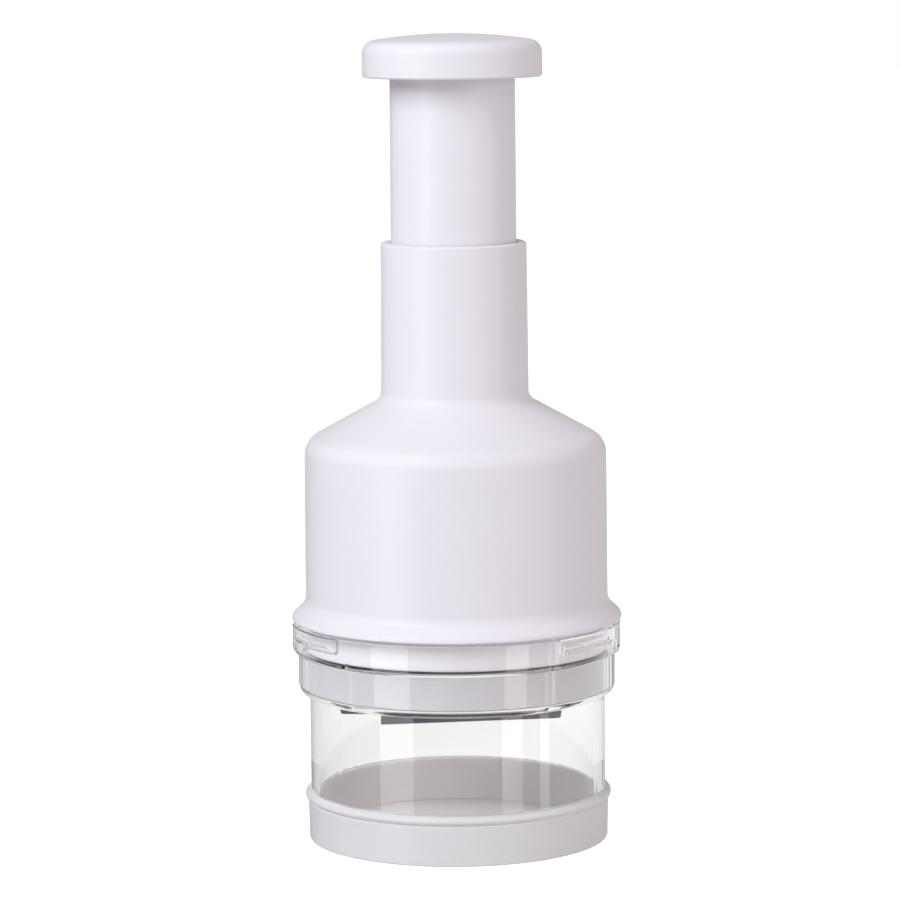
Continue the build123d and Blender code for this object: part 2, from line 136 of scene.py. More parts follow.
class ChopperSizes(bpy.types.PropertyGroup):
    """Sizes of the moulded and turned pieces."""

    knob_dome: length("Knob dome", "Rise of the palm dome", 2.3)
    knob_round: length("Knob round", "Round between the dome and the side of the knob", 3.7)
    knob_rim: length("Knob rim", "Round of the knob's lower rim", 0.7)
    knob_wall: length("Knob wall", "Wall of the knob", 2.2)
    knob_roof: length("Knob roof", "Thickness of the knob under its dome", 2.4)
    roof_round: length("Roof round", "Round between the knob's roof and its walls", 1.0)
    socket_radius: length("Socket radius", "Outside of the socket over the stem", 20.0)
    stem_radius: length("Stem radius", "Outside of the stem in the knob", 18.1)
    socket_lift: length("Socket lift", "Foot of the socket above the rim of the knob", 1.6)
    skirt_radius: length("Skirt radius", "Outside of the housing's body and skirt", 44.0)
    skirt_round: length("Skirt round", "Round of the skirt's foot", 0.6)
    housing_wall: length("Housing wall", "Wall of the housing", 2.2)
    flange_foot: length("Flange foot", "Underside of the flange above the worktop", 65.25)
    flange_rim: length("Flange rim", "Upright edge of the flange", 1.0)
    flange_round: length("Flange round", "Round between the flange's edge and its slope", 1.7)
    flange_height: length("Flange height", "Thickness of the flange at the body", 4.8)
    flange_fillet: length("Flange fillet", "Fillet between the flange's slope and the body", 4.2)
    body_draft: length("Body draft", "How much wider the body is at the flange", 0.25)
    shoulder_height: length("Shoulder height", "Edge of the shoulder above the worktop", 117.4)
    shoulder_round: length("Shoulder round", "Round of the shoulder's edge", 6.0)
    neck_height: length("Neck height", "Foot of the neck above the worktop", 129.8)
    neck_radius: length("Neck radius", "Outside of the neck at its foot", 21.5)
    neck_draft: length("Neck draft", "Taper of the neck up to its rim", 0.35)
    neck_round: length("Neck round", "Hollow round at the foot of the neck", 3.5)
    neck_rim: length("Neck rim", "Round of the neck's upper rim", 0.8)
    guide_radius: length("Guide radius", "Bore that guides the stem", 18.6)
    guide_foot: length("Guide foot", "Lower end of the guide bore above the worktop", 142.3)
    counterbore_radius: length("Counterbore radius", "Bore below the guide", 19.9)
    cup_radius: length("Cup radius", "Outside of the base cup at its foot", 43.9)
    cup_draft: length("Cup draft", "Taper of the cup up to its bead", 0.25)
    cup_wall: length("Cup wall", "Wall of the base cup", 1.7)
    cup_floor: length("Cup floor", "Top of the cup's floor above the worktop", 2.0)
    cup_foot: length("Cup foot", "Height of the foot ring", 0.6)
    foot_width: length("Foot width", "Width of the foot ring", 4.5)
    cup_round: length("Cup round", "Round of the cup's rim and foot ring", 0.25)
    bead_height: length("Bead height", "Height of the cup's rim bead", 2.6)
    bead_radius: length("Bead radius", "Radius of the bead's round face", 1.001)
    bead_inset: length("Bead inset", "Middle of the bead's round face inside the cup's wall", 0.15)
    groove_depth: length("Groove depth", "Shadow groove under the cup's bead", 0.45)
    groove_round: length("Groove round", "Round at the bottom of the shadow groove", 0.15)
    seat_width: length("Seat width", "Groove in the cup's floor under the lip of the chamber", 2.0)
    seat_depth: length("Seat depth", "Depth of the groove in the cup's floor", 0.8)
    wire_radius: length("Wire radius", "Radius of the spring wire", 0.65)
    coil_radius: length("Coil radius", "Mean radius of the spring", 11.0)


class ChamberSizes(bpy.types.PropertyGroup):
    """Sizes of the clear chamber; angles are from the middle of a bayonet station."""

    lip_radius: length("Lip radius", "Outside of the lip that the cup is pushed on", 41.9)
    lip_height: length("Lip top", "Step above the lip, above the worktop", 14.7)
    jar_radius: length("Jar radius", "Outside of the plain jar", 43.3)
    jar_wall: length("Jar wall", "Wall of the jar", 2.4)
    band_radius: length("Band radius", "Outside of the guard band", 46.3)
    band_foot: length("Band foot", "Foot of the guard band above the worktop", 43.0)
    band_round: length("Band round", "Round from the band in to the jar", 3.0)
    band_bore: length("Band bore", "Bore of the guard band", 44.0)
    seat_height: length("Guard seat", "Ledge under the guard, above the worktop", 45.2)
    collar_radius: length("Collar radius", "Outside of the collar", 47.9)
    collar_foot: length("Collar foot", "Foot of the collar above the worktop", 55.3)
    collar_round: length("Collar round", "Round at the foot of the collar", 1.5)
    collar_bore: length("Collar bore", "Bore of the collar", 45.7)
    ledge_height: length("Collar ledge", "Ledge inside the collar, above the worktop", 56.2)
    station: degrees("Station", "Bearing of the first station", 85.9)
    pad_half: degrees("Pad half", "From the middle of a pad to its side", 19.05)
    pad_foot: length("Pad foot", "Foot of a pad above the worktop", 59.65)
    pad_rise: length("Pad rise", "Rise of a pad above the collar", 0.5)
    pad_round: length("Pad round", "Round of a pad's lower corners", 1.5)
    pad_bevel: length("Pad bevel", "Width of the sloping border of a pad", 0.6)
    rib_bearing: degrees("Rib", "From the middle of a station to a grip rib", 22.35)
    rib_width: length("Rib width", "Width of a grip rib", 1.4)
    rib_rise: length("Rib rise", "Rise of a rib above the wall", 0.25)
    rib_foot: length("Rib foot", "Foot of a rib above the foot of the band", 0.4)
    rib_top: length("Rib top", "Top of a rib above the worktop", 62.0)
    hook_foot: length("Hook foot", "Underside of a hook bar above the worktop", 60.85)
    hook_height: length("Hook height", "Height of a hook bar", 1.2)
    hook_reach: length("Hook reach", "Reach of a hook bar in from the collar's bore", 1.4)
    hook_bevel: length("Hook bevel", "Width of the sloping border of a hook bar", 0.4)
    hook_start: degrees("Hook start", "Closed end of a hook bar", -15.0)
    hook_end: degrees("Hook end", "Open end of a hook bar", 12.0)
    stop_foot: length("Stop foot", "Foot of the stop above the worktop", 59.35)
    stop_span: degrees("Stop span", "Width of the stop", 1.3)


class ChopperStage(bpy.types.PropertyGroup):
    """Camera, lamps and room."""

    camera_distance: length("Camera distance", "Camera in front of the plunger axis", 1187.0)
    camera_side: length("Camera side", "Camera left of the plunger axis", 1.57)
    camera_height: length("Camera height", "Camera above the worktop", 268.0)
    camera_pitch: degrees("Camera pitch", "Camera's tilt down", 7.38)
    camera_roll: degrees("Camera roll", "Camera's turn about its own axis", -0.51)
    lens: number("Lens", "Focal length of the camera in millimetres", 164.0)
    key_light: number("Key", "Radiance of the large high softbox on the left", 6.15)
    fill_light: number("Fill", "Radiance of the small low softbox on the right", 1.8)
    strip_light: number("Strips", "Radiance of the upright strips near the worktop", 2.5)
    wall_light: number("Walls", "Brightness of the room's walls on the object", 0.4092)
    ceiling_light: number("Ceiling", "Brightness of the room's ceiling on the object", 0.4402)
    back_window: number("Back window", "Brightness of the high window behind, through clear plastic", 4.4)
    front_window: number("Front window", "Brightness of the low window in front, through clear plastic", 6.0)
    room_gloss: number("Room gloss", "Mean brightness of the room in gloss", 0.55)


# Mesh tools

def outlined(bm, corners):
    """Edges of a closed outline beside the plunger axis; a corner is (radius, height, round) in metres."""
    verts = [bm.verts.new((corner[0], 0, corner[1])) for corner in corners]
    places = [vert.co.copy() for vert in verts]
    bm.faces.new(verts)
    for index, vert in enumerate(verts):
        rounding = corners[index][2]
        if rounding == 0:
            continue
        here = places[index]
        after = places[(index + 1) % len(places)]
        half_angle = (places[index - 1] - here).angle(after - here) / 2
        bmesh.ops.bevel(bm, geom=[vert], offset=rounding / math.tan(half_angle), offset_type="OFFSET",
                        segments=ROUND_STEPS, profile=0.5, affect="VERTICES", material=-1)
    bmesh.ops.delete(bm, geom=bm.faces[:], context="FACES_ONLY")
    on_axis = [edge for edge in bm.edges if all(abs(vert.co.x) < NEAR for vert in edge.verts)]
    bmesh.ops.delete(bm, geom=on_axis, context="EDGES")
    return bm.edges[:]


def spun(bm, corners):
    """Spins a closed outline right round the plunger axis."""
    bmesh.ops.spin(bm, geom=outlined(bm, corners), cent=(0, 0, 0), axis=UP, dvec=(0, 0, 0),
                   angle=math.tau, space=Matrix(), steps=TURN_STEPS, use_merge=True,
                   use_normal_flip=False, use_duplicate=False)


def outward(bm):
    """Turns every face of a closed mesh outwards."""
    bmesh.ops.recalc_face_normals(bm, faces=bm.faces)
    if bm.calc_volume(signed=True) < 0:
        bmesh.ops.reverse_faces(bm, faces=bm.faces)


def raised(bm, faces, rise, bevel):
    """Raises faces along their normals, with a sloping border of the given width."""
    bmesh.ops.inset_region(bm, faces=faces, thickness=bevel, depth=rise, use_even_offset=True,
                           use_boundary=True)


def finished(name, bm, material, body, replaced):
    """Makes the mesh a smooth piece that rides on a body and replaces a node of the frame."""
    bmesh.ops.remove_doubles(bm, verts=bm.verts, dist=MERGE)
    outward(bm)
    mesh = bpy.data.meshes.new(name)
    bm.to_mesh(mesh)
    bm.free()
    mesh.shade_smooth()
    mesh.set_sharp_from_angle(angle=SHARP_ANGLE)
    piece = bpy.data.objects.new(name, mesh)
    bpy.context.scene.collection.objects.link(piece)
    mesh.materials.append(material)
    weighted = piece.modifiers.new("Even shading", "WEIGHTED_NORMAL")
    weighted.keep_sharp = True
    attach(piece, body)
    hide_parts(replaced)
    return piece


def dress(material, *names):
    """Gives frame pieces, whose shapes stay, their finish."""
    for name in names:
        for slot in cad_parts[name].material_slots:
            slot.material = material


def arc(centre, radius, start, stop, steps):
    """Points (radius, height, 0) of an arc from one angle above the horizontal to another."""
    turn = (stop - start) / steps
    angles = [start + turn * step for step in range(steps + 1)]
    return [(centre[0] + radius * math.cos(angle), centre[1] + radius * math.sin(angle), 0)
            for angle in angles]


# Material tools

def node(tree, kind, inputs=None, **settings):
    """Adds a shader node; inputs maps a socket to a value, to the socket that feeds it, or to a node.

    A node feeds the socket from its first output.
    """
    new = tree.nodes.new("ShaderNode" + kind)
    for name, value in settings.items():
        setattr(new, name, value)
    for name, value in (inputs or {}).items():
        if isinstance(value, bpy.types.Node):
            value = value.outputs[0]
        if isinstance(value, bpy.types.NodeSocket):
            tree.links.new(value, new.inputs[name])
        else:
            new.inputs[name].default_value = value
    return new


def new_material(name):
    """Empty node material and its node tree."""
    material = bpy.data.materials.new(name)
    material.use_nodes = True
    material.node_tree.nodes.clear()
    return material, material.node_tree


def per_metre(millimetres):
    """Noise scale whose features are the given size."""
    return 1 / (millimetres * MM)


def darker(base, share):
    """Colour with a share of its brightness."""
    return tuple(part * share for part in base)


def moulded(name, base, roughness, spread=0.05, flow_size=26.0, flow_shade=0.975, grain_size=0.45,
            translucence=0.0):
    """Injection-moulded thermoplastic: even colour, faint flow mottling and a fine satin grain.

    Sizes are in millimetres. The grain is coarser than a real mould's, which is too fine to show. Spread is
    how far the roughness strays, flow_shade how dark the flow marks are, and translucence the share of the
    lamps' light that a thin wall lets through.
    """
    _, tree = new_material(name)
    place = node(tree, "TexCoord").outputs["Object"]
    flow = node(tree, "TexNoise", {"Vector": place, "Scale": per_metre(flow_size), "Detail": 2.0})
    tone = node(tree, "Mix", {"Factor": flow, 6: (*base, 1), 7: (*darker(base, flow_shade), 1)},
                data_type="RGBA")
    rough = node(tree, "MapRange", {
        "Value": flow, "To Min": roughness - spread, "To Max": roughness + spread})
    grain = node(tree, "TexNoise", {"Vector": place, "Scale": per_metre(grain_size), "Detail": 3.0})
    bump = node(tree, "Bump", {"Height": grain, "Strength": 0.12, "Distance": 0.02 * MM})
    finish = node(tree, "BsdfPrincipled", {
        "Base Color": tone.outputs[2], "Roughness": rough, "Normal": bump, "IOR": 1.53})
    if translucence:
        passing = node(tree, "BsdfTransparent", {"Color": (1.0, 0.93, 0.9, 1)})
        path = node(tree, "LightPath").outputs
        share = node(tree, "Math", {0: path["Is Shadow Ray"], 1: translucence}, operation="MULTIPLY")
        finish = node(tree, "MixShader", {"Fac": share, 1: finish, 2: passing})
    node(tree, "OutputMaterial", {"Surface": finish})


def clear_san(base):
    """Clear polished SAN: water-white, glossy, with the slow waviness of a moulded wall."""
    wave_size = 38.0
    more_than_once = 1.5
    _, tree = new_material("clear_polished_SAN")
    place = node(tree, "TexCoord").outputs["Object"]
    waves = node(tree, "TexNoise", {"Vector": place, "Scale": per_metre(wave_size), "Detail": 1.0})
    bump = node(tree, "Bump", {"Height": waves, "Strength": 0.1, "Distance": 0.3 * MM})
    glass = node(tree, "BsdfPrincipled", {
        "Base Color": (*base, 1), "Roughness": 0.03, "IOR": 1.57, "Transmission Weight": 1.0, "Normal": bump})
    # The lamps' light passes straight through the thin wall, and so does light that was turned back twice
    passing = node(tree, "BsdfTransparent", {"Color": (0.915, 0.905, 0.91, 1)})
    path = node(tree, "LightPath").outputs
    turned = node(tree, "Math", {0: path["Glossy Depth"], 1: more_than_once}, operation="GREATER_THAN")
    straight = node(tree, "Math", {0: path["Is Shadow Ray"], 1: turned}, operation="MAXIMUM")
    mixed = node(tree, "MixShader", {"Fac": straight, 1: glass, 2: passing})
    node(tree, "OutputMaterial", {"Surface": mixed})


def steel(name, base, roughness, stretch, spread=0.06, line_size=0.5, line_shade=0.8):
    """Stainless steel with fine drawing, rolling or turning lines.

    Their spacing, line_size in millimetres, is coarser than the real one, which is too fine to show. Stretch
    flattens them along each axis, and line_shade is how dark they are.
    """
    _, tree = new_material(name)
    place = node(tree, "TexCoord").outputs["Object"]
    drawn = node(tree, "Mapping", {"Vector": place, "Scale": stretch})
    lines = node(tree, "TexNoise", {"Vector": drawn, "Scale": per_metre(line_size), "Detail": 4.0})
    tone = node(tree, "Mix", {"Factor": lines, 6: (*base, 1), 7: (*darker(base, line_shade), 1)},
                data_type="RGBA")
    rough = node(tree, "MapRange", {
        "Value": lines, "From Min": 0.3, "From Max": 0.7,
        "To Min": roughness - spread, "To Max": roughness + spread})
    bump = node(tree, "Bump", {"Height": lines, "Strength": 0.2, "Distance": 0.01 * MM})
    surface = node(tree, "BsdfPrincipled", {
        "Base Color": tone.outputs[2], "Metallic": 1.0, "Roughness": rough, "Normal": bump})
    node(tree, "OutputMaterial", {"Surface": surface})


# Pieces

class CHOPPER_OT_knob(bpy.types.Operator):
    """Domed palm knob with its socket."""

    bl_idname = "chopper.knob"
    bl_label = "Knob"

    def execute(self, context):
        size = context.scene.chopper_sizes
        low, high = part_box("knob")
        radius, top, foot = high.x, high.z, low.z
        roof = top - size.knob_dome - size.knob_roof
        sphere = (radius ** 2 + size.knob_dome ** 2) / (2 * size.knob_dome)
        # The arc of the dome ends clear of the round at its edge
        rounds_clear = 1.2
        edge_angle = math.acos((radius - rounds_clear * size.knob_round) / sphere)
        dome = arc((0, top - sphere), sphere, math.pi / 2, edge_angle, steps=8)
        inside = radius - size.knob_wall
        socket_foot = foot + size.socket_lift
        corners = dome + [
            (radius, top - size.knob_dome, size.knob_round),
            (radius, foot, size.knob_rim),
            (inside, foot, SOFT),
            (inside, roof, size.roof_round),
            (size.socket_radius, roof, size.roof_round),
            (size.socket_radius, socket_foot, EASED),
            (size.stem_radius, socket_foot, FINE),
            (size.stem_radius, roof, 0),
            (0, roof, 0),
        ]
        bm = bmesh.new()
        spun(bm, corners)
        finished("palm_knob", bm, bpy.data.materials["moulded_ABS"], "plunger", "knob")
        return {"FINISHED"}


class CHOPPER_OT_housing(bpy.types.Operator):
    """White housing: skirt, flange, flared body, shoulder and neck."""

    bl_idname = "chopper.housing"
    bl_label = "Housing"

    def execute(self, context):
        size = context.scene.chopper_sizes
        low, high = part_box("housing")
        bore = size.skirt_radius - size.housing_wall
        slope = Vector((size.skirt_radius - size.neck_radius, size.neck_height - size.shoulder_height))
        cone = slope.y / slope.x
        # The wall is as thick across the sloping shoulder as in the body
        drop = size.housing_wall * slope.length / slope.x
        inner_shoulder = size.shoulder_height + size.housing_wall * cone - drop
        inner_neck = size.neck_height + (size.neck_radius - size.counterbore_radius) * cone - drop
        body_foot = size.flange_foot + size.flange_height
        corners = [
            (bore, low.z, EASED),
            (size.skirt_radius, low.z, size.skirt_round),
            (size.skirt_radius, size.flange_foot, FINE),
            (high.x, size.flange_foot, CRISP),
            (high.x, size.flange_foot + size.flange_rim, size.flange_round),
            (size.skirt_radius + size.body_draft, body_foot, size.flange_fillet),
            (size.skirt_radius, size.shoulder_height, size.shoulder_round),
            (size.neck_radius, size.neck_height, size.neck_round),
            (size.neck_radius - size.neck_draft, high.z, size.neck_rim),
            (size.guide_radius, high.z, SOFT),
            (size.guide_radius, size.guide_foot, FINE),
            (size.counterbore_radius, size.guide_foot, 0),
            (size.counterbore_radius, inner_neck, FINE),
            (bore, inner_shoulder, size.shoulder_round - size.housing_wall),
        ]
        bm = bmesh.new()
        spun(bm, corners)
        finished("upper_housing", bm, bpy.data.materials["moulded_ABS"], "housing", "housing")
        return {"FINISHED"}


class CHOPPER_OT_chamber(bpy.types.Operator):
    """Clear chamber: jar, guard band and bayonet collar in one moulding."""

    bl_idname = "chopper.chamber"
    bl_label = "Clear chamber"

    def execute(self, context):
        size = context.scene.chamber_sizes
        low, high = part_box("chopping_chamber")
        hook_round = size.hook_height / 2
        hook_middle = size.hook_foot + hook_round
        pad_turn = size.pad_round / size.collar_radius
        hook_turn = hook_round / size.collar_bore
        rib_half = size.rib_width / 2 / size.collar_radius
        bm = bmesh.new()
        self.turned(bm, size, low.z, high.z, pad_turn, hook_turn, rib_half)
        self.ribs(bm, size, rib_half)
        # Lower corners of the pads and the ends of the hook bars are round
        for vert in bm.verts:
            turn, radius, height = self.place(vert.co, size)
            if abs(radius - size.collar_radius) < NEAR:
                side = math.copysign(1, turn)
                self.rounded(vert, abs(turn) - size.pad_half + pad_turn,
                             size.pad_foot + size.pad_round - height, size.pad_round, side, -1)
            if abs(radius - size.collar_bore) < NEAR:
                rise = height - hook_middle
                over = math.copysign(1, rise)
                self.rounded(vert, turn - size.hook_end + hook_turn, abs(rise), hook_round, 1, over)
                if over > 0:
                    self.rounded(vert, size.hook_start + hook_turn - turn, rise, hook_round, -1, 1)
        outward(bm)
        pads, hooks = self.lands(bm, size, hook_middle)
        raised(bm, pads, size.pad_rise, size.pad_bevel)
        raised(bm, hooks, size.hook_reach, size.hook_bevel)
        finished("clear_chamber", bm, bpy.data.materials["clear_polished_SAN"], "chamber",
                 "chopping_chamber")
        return {"FINISHED"}

    def turned(self, bm, size, foot, rim, pad_turn, hook_turn, rib_half):
        """Stepped wall, with a column of edges at every side of a pad, rib, hook bar and stop."""
        jar_bore = size.jar_radius - size.jar_wall
        hook_step = size.hook_height / 2 / HOOK_STEPS
        pad_rows = [size.pad_foot + size.pad_round * row / PAD_STEPS for row in range(PAD_STEPS + 1)]
        hook_rows = [size.hook_foot + hook_step * row for row in reversed(range(2 * HOOK_STEPS + 1))]
        corners = [
            (size.lip_radius, foot, EASED),
            (size.lip_radius, size.lip_height, CRISP),
            (size.jar_radius, size.lip_height, EASED),
            (size.jar_radius, size.band_foot, 0),
            (size.band_radius, size.band_foot, size.band_round),
            (size.band_radius, size.collar_foot, 0),
            (size.collar_radius, size.collar_foot, size.collar_round),
            *((size.collar_radius, height, 0) for height in pad_rows),
            (size.collar_radius, size.rib_top, 0),
            (size.collar_radius, rim, EASED),
            (size.collar_bore, rim, EASED),
            *((size.collar_bore, height, 0) for height in hook_rows),
            (size.collar_bore, size.stop_foot, 0),
            (size.collar_bore, size.ledge_height, FINE),
            (size.band_bore, size.ledge_height, FINE),
            (size.band_bore, size.seat_height, FINE),
            (jar_bore, size.seat_height, SOFT),
            (jar_bore, foot, EASED),
        ]
        sides = [size.pad_half - pad_turn * part / PAD_STEPS for part in range(PAD_STEPS + 1)]
        sides += [size.rib_bearing + rib_half * part for part in (-1, -RIB_FLAT, RIB_FLAT, 1)]
        columns = [-math.pi / STATIONS, math.pi / STATIONS, size.hook_start + size.stop_span]
        columns += [side * angle for side in (-1, 1) for angle in sides]
        for part in range(HOOK_STEPS + 1):
            columns.append(size.hook_start + hook_turn * part / HOOK_STEPS)
            columns.append(size.hook_end - hook_turn * part / HOOK_STEPS)
        columns.sort()
        end = outlined(bm, corners)
        start = Matrix.Rotation(size.station + columns[0], 3, "Z")
        bmesh.ops.rotate(bm, cent=(0, 0, 0), matrix=start, verts=bm.verts, space=Matrix())
        turns = [after - angle for angle, after in zip(columns, columns[1:])]
        for turn in turns * STATIONS:
            result = bmesh.ops.spin(bm, geom=end, cent=(0, 0, 0), axis=UP, dvec=(0, 0, 0), angle=turn,
                                    space=Matrix(), steps=math.ceil(turn / WIDEST_STEP), use_merge=False,
                                    use_normal_flip=False, use_duplicate=False)
            end = [item for item in result["geom_last"] if isinstance(item, bmesh.types.BMEdge)]
        bmesh.ops.remove_doubles(bm, verts=bm.verts, dist=SEAM)

    def ribs(self, bm, size, rib_half):
        """Draws the grip ribs out of the collar and the band."""
        flat_half = rib_half * (1 + RIB_FLAT) / 2
        for vert in bm.verts:
            turn, radius, height = self.place(vert.co, size)
            # Below the guard's seat the band rounds in to the jar
            wall = size.band_radius if height > size.seat_height else size.band_bore
            across = abs(abs(turn) - size.rib_bearing) < flat_half
            along = size.band_foot + size.rib_foot < height < size.rib_top + NEAR
            if radius > wall - NEAR and across and along:
                vert.co.xy *= 1 + size.rib_rise / radius

    def lands(self, bm, size, hook_middle):
        """Faces of the pads outside the collar, and of the hook bars and stops inside it."""
        pads = []
        hooks = []
        stop_end = size.hook_start + size.stop_span
        for face in bm.faces:
            turn, radius, height = self.place(face.calc_center_median(), size)
            if abs(radius - size.collar_radius) < WALL_SLACK:
                if abs(turn) < size.pad_half and height > size.pad_foot:
                    pads.append(face)
            if abs(radius - size.collar_bore) < WALL_SLACK and size.hook_start < turn < size.hook_end:
                in_bar = size.hook_foot < height < size.hook_foot + size.hook_height
                in_stop = turn < stop_end and size.stop_foot < height < hook_middle
                if in_bar or in_stop:
                    hooks.append(face)
        return pads, hooks

    def place(self, point, size):
        """Angle from the nearest station, radius and height of a point."""
        pitch = math.tau / STATIONS
        turn = (math.atan2(point.y, point.x) - size.station + pitch / 2) % pitch - pitch / 2
        return turn, point.xy.length, point.z

    def rounded(self, vert, turn, rise, rounding, turn_way, rise_way):
        """Draws a corner of the grid onto a circle; turn and rise are its place out from the centre."""
        across = turn * vert.co.xy.length
        if not (NEAR < across < rounding + NEAR and NEAR < rise < rounding + NEAR):
            return
        share = max(across, rise) / math.hypot(across, rise)
        vert.co = Matrix.Rotation(turn_way * turn * (share - 1), 3, "Z") @ vert.co
        vert.co.z += rise_way * rise * (share - 1)


class CHOPPER_OT_base_cup(bpy.types.Operator):
    """Pull-off base cup with its rim bead and foot ring."""

    bl_idname = "chopper.base_cup"
    bl_label = "Base cup"

    def execute(self, context):
        size = context.scene.chopper_sizes
        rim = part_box("base_cup")[1].z
        top_radius = size.cup_radius + size.cup_draft
        bore = size.cup_radius - size.cup_wall
        bead_middle = (top_radius - size.bead_inset, rim - size.bead_height / 2)
        bead_reach = math.radians(75)
        bead = arc(bead_middle, size.bead_radius, -bead_reach, bead_reach, steps=10)
        groove = rim - size.bead_height
        seat = size.cup_floor - size.seat_depth
        foot_inside = size.cup_radius - size.foot_width
        corners = bead + [
            (bore + FINE, rim, size.cup_round),
            (bore, rim - SOFT, CRISP),
            (bore, seat, CRISP),
            (bore - size.seat_width, seat, CRISP),
            (bore - size.seat_width, size.cup_floor, CRISP),
            (0, size.cup_floor, 0),
            (0, size.cup_foot, 0),
            (foot_inside, size.cup_foot, FINE),
            (foot_inside, 0, size.cup_round),
            (size.cup_radius, 0, SOFT),
            (top_radius, groove - size.groove_depth, CRISP),
            (top_radius - size.groove_depth, groove, size.groove_round),
        ]
        bm = bmesh.new()
        spun(bm, corners)
        finished("pull_off_cup", bm, bpy.data.materials["moulded_PP_cup"], "base", "base_cup")
        return {"FINISHED"}


class CHOPPER_OT_spring(bpy.types.Operator):
    """Return spring with closed ends."""

    bl_idname = "chopper.spring"
    bl_label = "Return spring"

    def execute(self, context):
        size = context.scene.chopper_sizes
        low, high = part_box("return_spring")
        wire = 2 * size.wire_radius
        # Each end has one closed coil; a coil is (turns, pitch)
        turns = 9
        coils = ((1, wire), (turns, (high.z - low.z - 3 * wire) / turns), (1, wire))
        steps = 48
        bm = bmesh.new()
        bmesh.ops.create_circle(bm, cap_ends=False, radius=size.wire_radius, segments=14)
        upright = Matrix.Rotation(math.pi / 2, 4, "X")
        bmesh.ops.transform(bm, matrix=upright, verts=bm.verts, space=Matrix())
        start = Vector((size.coil_radius, 0, low.z + size.wire_radius))
        bmesh.ops.translate(bm, vec=start, verts=bm.verts)
        end = bm.edges[:]
        for count, pitch in coils:
            result = bmesh.ops.spin(bm, geom=end, cent=(0, 0, 0), axis=UP, dvec=(0, 0, pitch / steps),
                                    angle=math.tau * count, space=Matrix(), steps=steps * count,
                                    use_merge=False, use_normal_flip=False, use_duplicate=False)
            end = [item for item in result["geom_last"] if isinstance(item, bmesh.types.BMEdge)]
        open_edges = [edge for edge in bm.edges if edge.is_boundary]
        bmesh.ops.holes_fill(bm, edges=open_edges, sides=0)
        coil = finished("coil_spring", bm, bpy.data.materials["drawn_spring_wire"], "housing",
                        "return_spring")
        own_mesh(coil)
        return {"FINISHED"}


class CHOPPER_OT_materials(bpy.types.Operator):
    """Materials of the chopper."""

    bl_idname = "chopper.materials"
    bl_label = "Materials"

    def execute(self, context):
        tints = context.scene.chopper_colours
        # ABS from a satin mould has broad, soft highlights
        moulded("moulded_ABS", tuple(tints.shell), roughness=0.34)
        # Polypropylene is a little waxier, and the cup's wall is thin enough for light to pass
        moulded("moulded_PP_guard", tuple(tints.guard), roughness=0.42)
        moulded("moulded_PP_cup", tuple(tints.cup), roughness=0.30, translucence=0.9)
        # Acetal turned from rod has a finer, slicker grain
        moulded("machined_acetal", tuple(tints.acetal), roughness=0.38, grain_size=0.3)
        clear_san(tuple(tints.clear))
        # Rolled and turned steel shows lines round the plunger axis, and drawn wire an even sheen
        # The strip's dark colour is painted shade and painted dark reflection, not the steel's own colour
        steel("rolled_stainless_strip", tuple(tints.blade), roughness=0.2, stretch=(1.0, 1.0, 12.0))
        steel("turned_stainless", tuple(tints.steel), roughness=0.22, stretch=(1.0, 1.0, 8.0))
        steel("drawn_spring_wire", tuple(tints.spring), roughness=0.26, stretch=(1.0, 1.0, 1.0))
        return {"FINISHED"}


class CHOPPER_OT_fitted(bpy.types.Operator):
    """Finishes of the pieces that keep their frame shape."""

    bl_idname = "chopper.fitted"
    bl_label = "Fitted pieces"

    def execute(self, context):
        get = bpy.data.materials
        dress(get["moulded_ABS"], "plunger_tube")
        dress(get["moulded_PP_guard"], "blade_guard", "blade_holder", "guide_plate")
        dress(get["machined_acetal"], "index_ring", "index_crown", "shaft_bush")
        dress(get["rolled_stainless_strip"], "zigzag_blade")
        dress(get["turned_stainless"], "blade_shaft", "shaft_clip", "shaft_pin", "thrust_washer",
              "lower_spring_seat", "upper_spring_seat", "guide_plate_screws", "crown_screws")
        return {"FINISHED"}


